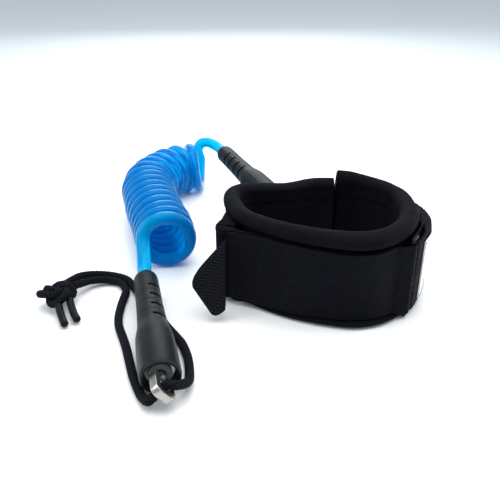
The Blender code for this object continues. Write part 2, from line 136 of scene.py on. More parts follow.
STRING_LEFT = [
    (-80.6, -104.6, 4.4), (-84, -100, 2.5), (-90, -87, 2.3), (-98, -63, 2.3), (-105.4, -43, 2.3),
    (-107.2, -25, 2.3), (-107.4, -11, 2.3), (-112, -2.6, 2.4), (-120.5, -0.2, 3), (-128.6, -4, 4.5),
    (-132.4, -10.2, 6.2), (-135.5, -14.5, 7.2),
]
STRING_RIGHT = [
    (-68.4, -101, 9.8), (-65, -93, 5.2), (-65.4, -83, 2.4), (-66.8, -73.8, 2.3), (-71, -61, 2.3),
    (-78.5, -49, 2.3), (-88, -33, 2.3), (-97.5, -18, 2.3), (-103.6, -7, 2.3), (-109.5, 1.5, 2.4),
    (-118, 4.8, 3), (-127, 3.4, 4.6), (-134.2, -1.6, 6.4), (-137.6, -7.4, 7.2),
    (-140, -12.5, 7.6),
]
KNOT_CENTRE = Vector((-141.5, -23.5, 8.0))
STRING_TAILS = {
    "tail_left": [(-139.4, -29, 6.8), (-138.4, -32.6, 5.6), (-135.5, -39, 3.4), (-131.8, -46, 2.4)],
    "tail_right": [(-134, -27, 7), (-132.8, -30.4, 5.8), (-130, -36, 3.6), (-126.4, -41.7, 2.4)],
}

CAMERA_PLACE = (-38, -300, 175)
CAMERA_PITCH = 63.0
CAMERA_LENS = 43.2
SOFTBOXES = (
    ("top_softbox", (0.05, 0.05, 0.9), (0, 0, 0), 0.9, 8.5, (1.0, 0.99, 0.98)),
    ("left_softbox", (-0.8, -0.2, 0.55), (-0.03, 0, 0.02), 0.5, 2.8, (0.93, 0.97, 1.0)),
    ("right_softbox", (0.8, 0.1, 0.5), (0, 0, 0.02), 0.5, 2.8, (0.95, 0.98, 1.0)),
    ("back_softbox", (-0.1, 0.9, 0.5), (-0.03, 0.05, 0.02), 0.6, 2.8, (0.93, 0.98, 1.0)),
)
FLOOR_HALF = 4  # metres
FLOOR_SHADE_RANGE = (0.14, 0.75)  # painted shade: the floor turns darker and bluer between these distances behind the origin, in metres

UV_MAP = "weave"  # metres along and across each band, tube and turned piece


def world(p):
    return (Vector(p) + CUFF_CENTRE) * MM


def show(piece):
    bpy.context.scene.collection.objects.link(piece)


def filled(data, shape):
    """The mesh, with the bmesh put into it."""
    shape.to_mesh(data)
    shape.free()
    return data


# ---- camera, light and floor


def build_stage():
    camera = bpy.data.objects.new("camera", bpy.data.cameras.new("camera"))
    camera.location = world(CAMERA_PLACE)
    camera.rotation_euler = (math.radians(CAMERA_PITCH), 0, 0)
    camera.data.sensor_width = 36
    camera.data.lens = CAMERA_LENS
    camera.data.clip_start = 0.01
    show(camera)
    bpy.context.scene.camera = camera

    for name, place, aim, size, power, colour in SOFTBOXES:
        light = bpy.data.objects.new(name, bpy.data.lights.new(name, "AREA"))
        light.data.size = size
        light.data.energy = power
        light.data.color = colour
        light.location = place
        light.rotation_euler = (Vector(aim) - Vector(place)).to_track_quat("-Z", "Y").to_euler()
        show(light)

    sky = bpy.data.worlds.new("studio")
    sky.use_nodes = True
    ambient = sky.node_tree.nodes["Background"]
    ambient.inputs["Color"].default_value = (0.90, 0.95, 1.0, 1)
    ambient.inputs["Strength"].default_value = 0.62
    bpy.context.scene.world = sky
    bpy.context.scene.view_settings.view_transform = "Standard"

    plate = bmesh.new()
    bmesh.ops.create_grid(plate, x_segments=8, y_segments=8, size=FLOOR_HALF)
    data = filled(bpy.data.meshes.new("floor"), plate)
    floor = bpy.data.objects.new("floor", data)
    floor.location = (0, 0, -0.0002)
    show(floor)
    pale = Paint("pale_floor", (0.9, 0.92, 0.93), 0.55)
    spot = pale.node("ShaderNodeTexCoord").outputs["Object"]
    back = pale.separate(spot)["Y"]
    near, far = FLOOR_SHADE_RANGE
    # painted shade: the floor is tinted darker and bluer further back, where less light falls
    fade = pale.node("ShaderNodeMapRange", {"Value": back, "From Min": near, "From Max": far})
    pale.tint(fade.outputs["Result"], (0.93, 0.942, 0.95), (0.80, 0.86, 0.90))
    data.materials.append(pale.material)


# ---- materials


class Paint:
    """A Principled material and short ways to add nodes to it."""

    def __init__(self, name, colour, roughness, **sockets):
        self.material = bpy.data.materials.new(name)
        self.material.use_nodes = True
        self.tree = self.material.node_tree
        self.shader = self.tree.nodes["Principled BSDF"]
        self.shader.inputs["Base Color"].default_value = (*colour, 1)
        self.shader.inputs["Roughness"].default_value = roughness
        for socket, value in sockets.items():
            self.shader.inputs[socket.replace("_", " ")].default_value = value

    def node(self, kind, inputs=None, **settings):
        made = self.tree.nodes.new(kind)
        for key, value in settings.items():
            setattr(made, key, value)
        for key, value in (inputs or {}).items():
            if isinstance(value, bpy.types.NodeSocket):
                self.tree.links.new(value, made.inputs[key])
            else:
                made.inputs[key].default_value = value
        return made

    def math(self, operation, a, b=0.0):
        return self.node("ShaderNodeMath", {0: a, 1: b}, operation=operation).outputs[0]

    def separate(self, vector):
        return self.node("ShaderNodeSeparateXYZ", {"Vector": vector}).outputs

    def uv(self):
        """(along, across) in metres."""
        split = self.separate(self.node("ShaderNodeUVMap", uv_map=UV_MAP).outputs["UV"])
        return split["X"], split["Y"]

    def position(self):
        return self.node("ShaderNodeTexCoord").outputs["Object"]

    def noise(self, scale, detail=4.0, vector=None):
        inputs = {"Vector": vector or self.position(), "Scale": scale, "Detail": detail}
        return self.node("ShaderNodeTexNoise", inputs).outputs["Fac"]

    def wave(self, value, pitch):
        """0 to 1 and back once in each pitch of the value."""
        turned = self.math("SINE", self.math("MULTIPLY", value, 2 * math.pi / pitch))
        return self.math("ADD", self.math("MULTIPLY", turned, 0.5), 0.5)

    def tint(self, factor, low, high):
        ramp = self.node("ShaderNodeValToRGB", {"Fac": factor})
        ramp.color_ramp.elements[0].color = (*low, 1)
        ramp.color_ramp.elements[1].color = (*high, 1)
        self.tree.links.new(ramp.outputs["Color"], self.shader.inputs["Base Color"])

    def rough(self, factor, low, high):
        made = self.node("ShaderNodeMapRange", {"Value": factor, "To Min": low, "To Max": high})
        self.tree.links.new(made.outputs["Result"], self.shader.inputs["Roughness"])

    def bump(self, height, depth, strength=1.0):
        """Adds a relief of this depth in metres over what is there already."""
        relief = self.node("ShaderNodeBump", {"Height": height, "Distance": depth, "Strength": strength})
        before = self.shader.inputs["Normal"].links
        if before:
            self.tree.links.new(before[0].from_socket, relief.inputs["Normal"])
        self.tree.links.new(relief.outputs["Normal"], self.shader.inputs["Normal"])


def neoprene():
    paint = Paint("neoprene_jersey", (0.003, 0.003, 0.005), 0.85, Specular_IOR_Level=0.06, Sheen_Weight=0.004)
    knit = paint.noise(2600, 2.0)
    paint.tint(paint.noise(55, 5.0), (0.0015, 0.0015, 0.003), (0.005, 0.005, 0.008))
    paint.rough(paint.noise(300), 0.70, 0.88)
    paint.bump(paint.noise(160, 3.0), 0.00035)
    paint.bump(knit, 0.00022)
    return paint.material


def loop_pile():
    paint = Paint("loop_pile", (0.008, 0.008, 0.010), 0.95, Specular_IOR_Level=0.04, Sheen_Weight=0.006)
    loops = paint.node("ShaderNodeTexVoronoi", {"Vector": paint.position(), "Scale": 1500.0})
    paint.tint(paint.noise(900, 4.0), (0.001, 0.001, 0.002), (0.010, 0.010, 0.014))
    paint.bump(paint.noise(420, 5.0), 0.0006)
    paint.bump(loops.outputs["Distance"], 0.0007)
    return paint.material


def ribbed_nylon():
    paint = Paint("ribbed_nylon", (0.008, 0.008, 0.011), 0.66, Specular_IOR_Level=0.07)
    along, across = paint.uv()
    ribs = paint.wave(across, 0.0011)
    yarns = paint.wave(along, 0.0016)
    both = paint.math("ADD", ribs, paint.math("MULTIPLY", yarns, 0.45))
    # painted shade: the colour is darker in the grooves between ribs and yarns; the noise adds random tone
    shade = paint.math("MULTIPLY", both, paint.noise(240, 4.0))
    paint.tint(shade, (0.001, 0.001, 0.003), (0.005, 0.006, 0.010))
    paint.rough(paint.noise(60), 0.52, 0.75)
    paint.bump(both, 0.00022)
    paint.bump(paint.noise(1800, 2.0), 0.00012)
    return paint.material


def herringbone():
    """Coarse webbing in slanting rows that turn back every few millimetres."""
    paint = Paint("webbing", (0.010, 0.010, 0.014), 0.75, Specular_IOR_Level=0.08)
    along, across = paint.uv()
    fold = paint.math("PINGPONG", across, 0.0028)
    rows = paint.wave(paint.math("ADD", along, fold), 0.0019)
    yarn = paint.wave(paint.math("SUBTRACT", along, fold), 0.00055)
    relief = paint.math("ADD", rows, paint.math("MULTIPLY", yarn, 0.3))
    # painted shade: the colour follows the relief, darker in the hollows between rows and yarns
    paint.tint(relief, (0.001, 0.001, 0.002), (0.014, 0.015, 0.022))
    paint.rough(paint.noise(200), 0.6, 0.85)
    paint.bump(relief, 0.0006)
    return paint.material


def braid():
    paint = Paint("braided_cord", (0.006, 0.006, 0.008), 0.8, Specular_IOR_Level=0.07)
    along, around = paint.uv()
    cell = math.pi * STRING_D * MM / BRAID_YARNS
    one = paint.wave(paint.math("ADD", along, around), cell)
    other = paint.wave(paint.math("SUBTRACT", along, around), cell)
    yarns = paint.math("MULTIPLY", one, other)
    # painted shade: the colour is darker between the yarns than on their crowns; the noise adds random tone
    shade = paint.math("ADD", yarns, paint.noise(700, 4.0))
    paint.tint(shade, (0.0005, 0.0005, 0.001), (0.009, 0.010, 0.015))
    paint.bump(yarns, 0.0004)
    paint.bump(paint.noise(2400, 2.0), 0.00018)
    return paint.material


def sealed_braid():
    paint = Paint("heat_sealed_cord", (0.003, 0.003, 0.004), 0.45, Specular_IOR_Level=0.12)
    paint.rough(paint.noise(200, 4.0), 0.28, 0.55)
    paint.bump(paint.noise(330, 4.0), 0.00025)
    return paint.material


def thread():
    paint = Paint("thread", (0.004, 0.004, 0.006), 0.6, Specular_IOR_Level=0.12)
    paint.bump(paint.noise(3000, 2.0), 0.0001)
    return paint.material


def urethane(length=0.0):
    """Clear blue with painted shade: the plain ends of a cord of this length in metres are paler than its
    winding, whose deeper blue stands in for the shade of its packed turns.
    """
    paint = Paint(
        "blue_urethane", (0.0, 0.30, 0.78), 0.1, Transmission_Weight=0.62, IOR=1.36, Specular_IOR_Level=0.25,
        Specular_Tint=(0.12, 0.6, 1.0, 1.0),
    )
    along = paint.uv()[0]
    shade_ramps = []
    for pale, deep in ((0.03, 0.09), (length - 0.04, length - 0.1)):
        inputs = {"Value": along, "From Min": pale, "From Max": deep}
        shade_ramps.append(paint.node("ShaderNodeMapRange", inputs).outputs["Result"])
    winding_shade = paint.math("MULTIPLY", *shade_ramps)
    cloud = paint.math("MULTIPLY", paint.noise(60, 3.0), 0.35)
    # painted shade: the winding is tinted deeper blue than the plain ends; the cloud noise adds random tone
    paint.tint(paint.math("SUBTRACT", winding_shade, cloud), (0.0, 0.50, 0.86), (0.0, 0.30, 0.80))
    paint.rough(paint.noise(90, 3.0), 0.09, 0.18)
    paint.bump(paint.noise(120, 3.0), 0.00008)
    return paint.material


def grip_rubber():
    paint = Paint("grip_rubber", (0.006, 0.007, 0.009), 0.42, Specular_IOR_Level=0.18)
    paint.tint(paint.noise(90, 5.0), (0.003, 0.004, 0.005), (0.009, 0.010, 0.013))
    paint.rough(paint.noise(140, 5.0), 0.36, 0.52)
    paint.bump(paint.noise(1400, 3.0), 0.00007)
    return paint.material


def steel():
    """Ground steel: fine scratches run across the piece."""
    paint = Paint("ground_steel", (0.45, 0.44, 0.42), 0.25, Metallic=1.0)
    stretched = paint.node("ShaderNodeMapping", {"Vector": paint.position(), "Scale": (3.0, 0.4, 0.6)})
    grain = paint.noise(900, 3.0, stretched.outputs["Vector"])
    paint.tint(grain, (0.26, 0.25, 0.24), (0.55, 0.54, 0.52))
    paint.rough(grain, 0.18, 0.38)
    paint.bump(grain, 0.00006)
    return paint.material


def washer():
    paint = Paint("grey_nylon", (0.15, 0.17, 0.19), 0.4)
    paint.tint(paint.noise(300), (0.11, 0.13, 0.15), (0.19, 0.21, 0.23))
    paint.rough(paint.noise(250), 0.32, 0.5)
    paint.bump(paint.noise(900), 0.00005)
    return paint.material


def moulded_plastic():
    paint = Paint("black_acetal", (0.004, 0.004, 0.006), 0.4, Specular_IOR_Level=0.15)
    paint.rough(paint.noise(220, 4.0), 0.28, 0.45)
    paint.bump(paint.noise(1300, 2.0), 0.00005)
    return paint.material


def patch_film():
    """Plain glossy white patch, a little darker and duller in places."""
    paint = Paint("white_patch", (0.85, 0.86, 0.87), 0.3, Coat_Weight=0.3)
    paint.tint(paint.noise(70, 4.0), (0.78, 0.79, 0.80), (0.88, 0.89, 0.90))
    along, across = paint.uv()
    weave = paint.math("MULTIPLY", paint.wave(along, 0.0009), paint.wave(across, 0.0009))
    paint.bump(weave, 0.00006)
    paint.rough(paint.noise(180), 0.22, 0.4)
    return paint.material


# ---- mesh helpers


def smooth(points, step):
    """Points about step apart on a Catmull-Rom curve through the given ones."""
    given = [Vector(p) for p in points]
    ends = [2 * given[0] - given[1], *given, 2 * given[-1] - given[-2]]
    found = []
    for a, b, c, d in zip(ends, ends[1:], ends[2:], ends[3:]):
        count = max(1, round((c - b).length / step))
        for k in range(count):
            t = k / count
            squared = (2 * a - 5 * b + 4 * c - d) * t**2
            cubed = (3 * b - a - 3 * c + d) * t**3
            found.append(0.5 * (2 * b + (c - a) * t + squared + cubed))
    return found + [given[-1]]


def normals(route):
    """Unit normals in plan, to the right of the way along the route."""
    found = []
    for i in range(len(route)):
        along = route[min(i + 1, len(route) - 1)] - route[max(i - 1, 0)]
        found.append(Vector((along.y, -along.x)).normalized())
    return found


def beside(route, distance):
    return [p + n * distance for p, n in zip(route, normals(route))]


def in_plan(points):
    return [Vector(p[:2]) for p in points]


def arc(centre, across, upwards, first, last, steps):
    """Points on an oval about the centre, between two angles in degrees."""
    turns = [math.radians(first + (last - first) * k / steps) for k in range(steps + 1)]
    return [(centre[0] + across * math.cos(a), centre[1] + upwards * math.sin(a)) for a in turns]


def nearest(route, point):
    return min(range(len(route)), key=lambda i: (route[i] - Vector(point)).length)


def lengths(points):
    """Distance along a line of points, to each of them."""
    steps = np.linalg.norm(np.diff(np.asarray(points, float), axis=0), axis=1)
    return np.concatenate([[0.0], np.cumsum(steps)])


def link(name, data, finish, body=None, replaced=()):
    piece = bpy.data.objects.new(name, data)
    data.materials.append(finish)
    show(piece)
    if body:
        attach(piece, body)
    if replaced:
        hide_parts(*replaced)
    return piece


def lay(name, rings, finish, body, node):
    """A skin over rings, which stands for one node of the frame."""
    return link(name, skin(name, rings), finish, body, (node,))


def skin(name, rings, loop=False, matrix=None, sharp=50.0):
    """A mesh over rings of points in millimetres, closed round each ring, with UVs in metres."""
    rings = np.asarray(rings, float)
    count, around = rings.shape[:2]
    index = np.arange(count * around).reshape(count, around)
    rows = np.concatenate([index, index[:1]]) if loop else index
    turned = np.roll(rows, -1, axis=1)
    quads = np.stack([rows[:-1], turned[:-1], turned[1:], rows[1:]], axis=-1).reshape(-1, 4)
    u = lengths(rings.mean(axis=1)) * MM
    if u[-1] < 1e-6:
        u = lengths(rings[:, 0]) * MM
    if loop:
        u = np.append(u, u[-1] + np.linalg.norm(rings[0, 0] - rings[-1, 0]) * MM)
    middle = rings[count // 2]
    v = lengths(np.concatenate([middle, middle[:1]])) * MM
    grid_u, grid_v = np.meshgrid(u, v, indexing="ij")
    grid = np.stack([grid_u, grid_v], axis=-1)
    uv = np.stack([grid[:-1, :-1], grid[:-1, 1:], grid[1:, 1:], grid[1:, :-1]], axis=2).reshape(-1, 2)
    points = rings.reshape(-1, 3)
    corners = points[quads]
    volume = sum((corners[:, 0] * np.cross(corners[:, k], corners[:, k + 1])).sum() for k in (1, 2))
    for ring, turn in ((rings[0], -1.0), (rings[-1], 1.0)):
        fan = np.cross(ring[1:-1], ring[2:])
        volume += 0.0 if loop else turn * (fan @ ring[0]).sum()
    faces = quads.tolist()
    if not loop:
        faces += [index[0][::-1].tolist(), index[-1].tolist()]
        uv = np.concatenate([uv, np.zeros((2 * around, 2))])
    if volume < 0:
        faces = [face[::-1] for face in faces]
        turned_uv = uv[: 4 * len(quads)].reshape(-1, 4, 2)[:, ::-1].reshape(-1, 2)
        uv = np.concatenate([turned_uv, uv[4 * len(quads) :]])
    place = Matrix.Translation(CUFF_CENTRE) @ (matrix or Matrix.Identity(4))
    turn = np.array(place.to_3x3())
    points = (points @ turn.T + np.array(place.translation)) * MM
    data = bpy.data.meshes.new(name)
    data.from_pydata(points.tolist(), [], faces)
    data.uv_layers.new(name=UV_MAP).data.foreach_set("uv", uv.astype(np.float32).ravel())
    data.shade_smooth()
    data.set_sharp_from_angle(angle=math.radians(sharp))
    data.update()
    return data


def strip_section(thick, low, high, spacing=2.0):
    """A thin upright section with round edges, as (outward, up) points."""
    half = thick / 2
    heights = np.linspace(low + half, high - half, max(2, round((high - low) / spacing)))
    right = [(half, h) for h in heights[1:-1]]
    left = [(-half, h) for h in heights[-2:0:-1]]
    top = arc((0, high - half), half, half, 0, 180, 6)
    bottom = arc((0, low + half), -half, -half, 0, 180, 6)
    return right + top + left + bottom


def band_rings(route, section, shape=None):
    """The section carried along a plan route; shape(plan point, share of the way, out, up) may move it."""
    run = lengths([p[:2] for p in route])
    rings = []
    for p, n, d in zip(route, normals(route), run):
        ring = []
        for out, up in section:
            if shape:
                out, up = shape(p, d / run[-1], out, up)
            ring.append((p[0] + n[0] * out, p[1] + n[1] * out, up))
        rings.append(ring)
    return rings


def frames(points):
    """Two unit vectors across the line at each point, which turn as little as they can along it."""
    points = np.asarray(points, float)
    along = np.gradient(points, axis=0)
    along /= np.linalg.norm(along, axis=1)[:, None]
    first = np.cross(along[0], (0, 0, 1.0))
    if np.linalg.norm(first) < 0.1:
        first = np.cross(along[0], (1.0, 0, 0))
    sides = [first / np.linalg.norm(first)]
    for t in along[1:]:
        side = sides[-1] - t * (sides[-1] @ t)
        sides.append(side / np.linalg.norm(side))
    sides = np.array(sides)
    return sides, np.cross(along, sides)


def tube_rings(points, radius, sides, relief=None, dome=0.0):
    """Rings round a line. relief(angle, distance) adds to the radius, and dome rounds both ends."""
    points = np.asarray([tuple(p) for p in points], float)
    side, up = frames(points)
    run = lengths(points)
    angle = np.linspace(0, 2 * math.pi, sides, endpoint=False)
    size = np.full((len(points), sides), float(radius))
    if relief:
        size += relief(angle[None, :], run[:, None])
    if dome:
        left = np.minimum(run, run[-1] - run)
        inside = np.clip(1 - left / dome, 0, 0.97)
        size *= np.sqrt(1 - inside**2)[:, None]
    ring = np.cos(angle)[None, :, None] * side[:, None] + np.sin(angle)[None, :, None] * up[:, None]
    return points[:, None] + ring * size[:, :, None]


def braid_relief(diameter, around=BRAID_YARNS, depth=0.24):
    """Diamonds of yarn that pass over and under each other."""
    cell = math.pi * diameter / around

    def relief(angle, run):
        a = angle * around / (2 * math.pi) + run / cell
        b = angle * around / (2 * math.pi) - run / cell
        over = (np.floor(a) + np.floor(b)) % 2
        along = np.where(over > 0.5, a % 1, b % 1)
        across = np.where(over > 0.5, b % 1, a % 1)
        return depth * (np.sin(math.pi * across) * (0.55 + 0.45 * np.sin(math.pi * along)) - 0.5)

    return relief


def stitches(name, pairs, radius, finish, body):
    """Short threads from point to point, each thinner at its ends, as one mesh."""
    points, faces = [], []
    sides = 6
    widths = (0.35, 0.9, 1.0, 0.9, 0.35)
    for start, end in pairs:
        start, end = Vector(start), Vector(end)
        along = (end - start).normalized()
        side = along.cross(UP if abs(along.z) < 0.9 else Vector((1, 0, 0))).normalized()
        up = along.cross(side)
        base = len(points)
        for k, width in enumerate(widths):
            centre = start.lerp(end, k / (len(widths) - 1))
            for j in range(sides):
                angle = 2 * math.pi * j / sides
                reach = (side * math.cos(angle) + up * math.sin(angle)) * radius * width
                points.append(world(centre + reach))
        for k in range(len(widths) - 1):
            for j in range(sides):
                m = (j + 1) % sides
                row = base + k * sides
                faces.append((row + j, row + m, row + sides + m, row + sides + j))
        faces.append([base + j for j in range(sides)][::-1])
        faces.append([base + (len(widths) - 1) * sides + j for j in range(sides)])
    shape = bpy.data.meshes.new(name)
    shape.from_pydata([tuple(p) for p in points], [], faces)
    shape.shade_smooth()
    clean = bmesh.new()
    clean.from_mesh(shape)
    bmesh.ops.recalc_face_normals(clean, faces=clean.faces)
    return link(name, filled(shape, clean), finish, body)


def zigzag(route, out, low, high, step):
    """Threads that run from low to high and back along a route in plan."""
    line = beside(in_plan(smooth(route, step)), out)
    ends = [(p.x, p.y, high if i % 2 else low) for i, p in enumerate(line)]
    return list(zip(ends, ends[1:]))


def axis_frame(start, end, turn_up):
    """Local +Z runs from start to end, and local +Y leans towards turn_up."""
    along = (end - start).normalized()
    side = turn_up.cross(along).normalized()
    up = along.cross(side)
    matrix = Matrix((side, up, along)).transposed().to_4x4()
    matrix.translation = start
    return matrix


BOARD = axis_frame(BOARD_MOUTH, BOARD_END, UP)
REAR = axis_frame(REAR_MOUTH, REAR_END, UP)


# ---- cords


def coil_line():
    """Points of the winding, from its back end to its front."""
    centre = np.array([tuple(p) for p in smooth([Vector((*p, COIL_D / 2)) for p in COIL_ROUTE], 1.0)])
    run = lengths(centre)
    tangent = np.gradient(centre, axis=0)
    first, last = math.radians(FIRST_DEGREES), 2 * math.pi * WHOLE_TURNS + math.radians(LAST_DEGREES)
    count = WHOLE_TURNS * POINTS_PER_TURN
    found = []
    for k in range(count + 1):
        angle = first + (last - first) * k / count
        share = angle / last
        distance = run[-1] * (0.93 * share + 0.07 * share**2)
        spot = [np.interp(distance, run, centre[:, j]) for j in range(3)]
        way = Vector([np.interp(distance, run, tangent[:, j]) for j in range(3)]).normalized()
        left = Vector((-way.y, way.x, 0)).normalized()
        radius = WIND_R - 0.15 + 0.15 * math.sin(1.7 * angle)
        found.append(Vector(spot) + (left * math.cos(angle) + UP * math.sin(angle)) * radius)
    return found[::-1]


def cord_line():
    """The whole urethane cord: rear grip, plain end, winding, plain end, board grip."""
    coil = smooth([Vector((*p, COIL_D / 2)) for p in COIL_ROUTE], 12.0)
    front_way = (coil[0] - coil[1]).normalized()
    left = front_way.cross(UP).normalized()
    in_rear = [REAR @ Vector((0, 0, z)) for z in (CORD_INSIDE, 8, -2)]
    front_bend = [coil[0] + left * aside + UP * lift + front_way * ahead for aside, lift, ahead in FRONT_BEND]
    before_board = BOARD @ Vector((0, 0, -8)) + UP * 0.8
    in_board = [BOARD @ Vector((0, 0, z)) for z in (-1, 8, CORD_INSIDE)]
    return smooth([*in_rear, *REAR_BEND, *coil_line(), *front_bend, before_board, *in_board], 2.0)


def build_cord():
    line = cord_line()
    data = skin("urethane_cord", tube_rings(line, CORD_D / 2, 16))
    cord = link("urethane_cord", data, urethane(lengths(line)[-1] * MM))
    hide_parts("cord_back", "coil", "cord_front")
    path = [tuple(world(p)) for p in line]
    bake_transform(cord)
    length = lengths(path)[-1]
    return cord, path, length


def build_string():
    lean = Matrix.Rotation(math.radians(BOARD_EYE_LEAN), 4, "Z")
    through = (BOARD @ lean).to_3x3() @ Vector((0, 1, 0))
    eye = BOARD @ Vector((0, 0, STRING_PLACE))
    if through.z < 0:
        through = -through
    finish = braid()
    knot = build_knot(finish)
    for name, points in STRING_TAILS.items():
        rings = tube_rings(smooth(points, 0.7), STRING_D / 2 - 0.1, 20, dome=1.6)
        node = f"string_{name}"
        link(f"{node}_end", skin(name, rings), sealed_braid(), "board_end", (node,))
    runs = {
        "string_left": [eye - through * GAP / 2, eye - through * 3.4, *STRING_LEFT],
        "string_right": [eye + through * GAP / 2, eye + through * 3.2, *STRING_RIGHT],
    }
    for name, points in runs.items():
        line = smooth(smooth(points, 7.0), 0.55)
        rings = tube_rings(line, STRING_D / 2, 24, braid_relief(STRING_D))
        piece = link(f"{name}_braid", skin(name, rings), finish, "board_end", (name,))


def build_knot(finish):
    """A double overhand knot: both strands follow one trefoil, side by side, pulled tight."""
    wide, tall = 2.85, 2.3
    turns = np.linspace(0, 2 * math.pi, 160, endpoint=False)
    line = np.stack(
        [
            wide * (np.sin(turns) + 1.55 * np.sin(2 * turns)),
            wide * 0.8 * (np.cos(turns) - 1.55 * np.cos(2 * turns)),
            -tall * np.sin(3 * turns),
        ],
        axis=1,
    )
    way = np.roll(line, -1, axis=0) - np.roll(line, 1, axis=0)
    outward = np.cross(way, (0, 0, 1.0))
    outward /= np.linalg.norm(outward, axis=1)[:, None]
    place = Matrix.Translation(KNOT_CENTRE) @ Matrix.Rotation(math.radians(25), 4, "Z")
    joined = bmesh.new()
    for shift, lift in ((-1, 0.5), (1, -0.5)):
        strand = line + outward * 1.95 * shift + np.array((0, 0, lift))
        strand = np.concatenate([strand, strand[:1]])
        rings = tube_rings(strand, STRING_D / 2, 20, braid_relief(STRING_D))
        joined.from_mesh(skin("strand", rings, matrix=place))
    data = filled(bpy.data.meshes.new("stopper_knot"), joined)
    return link("stopper_knot", data, finish, "board_end", ("string_knot",))


# ---- grips and swivels


def grip_profile():
    """(radius, place, outer) down the inside and back up the outside of a grip."""
    inside = [
        (CORD_BORE, 0.7), (CORD_BORE, 20), (CORD_BORE, 48), (5.7, 48), (5.7, 58.2), (2.0, 58.2), (2.0, 60.6),
        (7.05, 60.6), (7.05, 75), (7.05, 82.5), (7.15, 83.4), (7.5, 84.5), (7.8, GRIP_LENGTH),
    ]
    corners = [
        (4.75, 0), (5.3, 0.25), (5.8, 1.0), (6.35, 2.4), (6.6, 4.2), (6.7, 29), (7.25, 46), (7.7, 49.5),
        (8.5, 53.5), (8.95, 57), (9.3, 67), (9.4, 75), (9.4, 83), (9.2, 84.2), (8.5, GRIP_LENGTH),
    ]
    radii, places = zip(*corners)
    rows = set(np.arange(4.2, 83, 0.8).round(3)) | {p for p in places}
    for slot in SLOT_PLACES:
        rows |= {slot + side * (SLOT_THICK / 2 + edge) for side in (-1, 1) for edge in (-0.1, 0.1)}
    for groove in GROOVE_PLACES:
        rows |= {groove + step for step in (-0.45, -0.2, 0.0, 0.2, 0.45)}
    fine = np.arange(0, GRIP_LENGTH + 0.01, 0.25)
    body = np.interp(fine, places, radii)
    soft = np.convolve(np.pad(body, 10, mode="edge"), np.ones(21) / 21, mode="valid")
    mix = np.clip((fine - 3) / 4, 0, 1) * np.clip((81 - fine) / 4, 0, 1)
    body = body * (1 - mix) + soft * mix
    outer = [(float(np.interp(z, fine, body)), float(z), True) for z in sorted(rows, reverse=True)]
    return [(r, z, False) for r, z in inside] + outer


def window(value, middle, half, edge):
    """1 within half of the middle, 0 past the edge beyond it."""
    t = np.clip((half + edge - np.abs(value - middle)) / edge, 0, 1)
    return t * t * (3 - 2 * t)


def build_grip(side, matrix, body, finish):
    angle = np.linspace(-30, 330, 144, endpoint=False)
    slots_at = SLOTS_AT[side]
    ridge_at = slots_at + RIDGE_PAST_SLOTS
    rings = []
    for radius, place, outer in grip_profile():
        size = np.full(len(angle), radius)
        if outer:
            for slot in SLOT_PLACES:
                deep = window(place, slot, SLOT_THICK / 2 - 0.1, 0.2)
                deep = deep * window(angle, slots_at, SLOT_DEGREES / 2 - 3, 5)
                size = size * (1 - deep) + SLOT_DEEP * deep
            for groove in GROOVE_PLACES:
                line = math.exp(-(((place - groove) / 0.22) ** 2)) * window(angle, slots_at + 72, 34, 8)
                size = size - 0.32 * line
            fade = np.clip((place - 2) / 3, 0, 1) * np.clip((83 - place) / 3, 0, 1)
            for ridge in (ridge_at, ridge_at - 180):
                size = size + 0.16 * fade * np.exp(-(((angle - ridge) / 2.4) ** 2))
        turn = np.radians(angle)
        rings.append(np.stack([size * np.cos(turn), size * np.sin(turn), np.full(len(angle), place)], axis=1))
    data = skin(f"{side}_grip_moulding", rings, loop=True, matrix=matrix, sharp=38)
    return link(f"{side}_grip_moulding", data, finish, body, (f"{side}_grip",))


def revolved(name, profile, matrix, steps=72):
    """A closed profile of (radius, place) points turned about the local Z axis."""
    turn = np.linspace(0, 2 * math.pi, steps, endpoint=False)
    rings = [
        np.stack([r * np.cos(turn), r * np.sin(turn), np.full(steps, z)], axis=1)
        for r, z in ((max(r, 0.01), z) for r, z in profile)
    ]
    return skin(name, rings, loop=profile[0][0] > 0, matrix=matrix, sharp=35)


def rounded_outline(width, start, end, start_r, end_r):
    """Corners of an upright rounded rectangle about the line x = 0."""
    points = []
    for cx, cy, r, first in (
        (width / 2 - start_r, start + start_r, start_r, -90), (width / 2 - end_r, end - end_r, end_r, 0),
        (-width / 2 + end_r, end - end_r, end_r, 90), (-width / 2 + start_r, start + start_r, start_r, 180),
    ):
        points += arc((cx, cy), r, r, first, first + 90, 6)
    return points


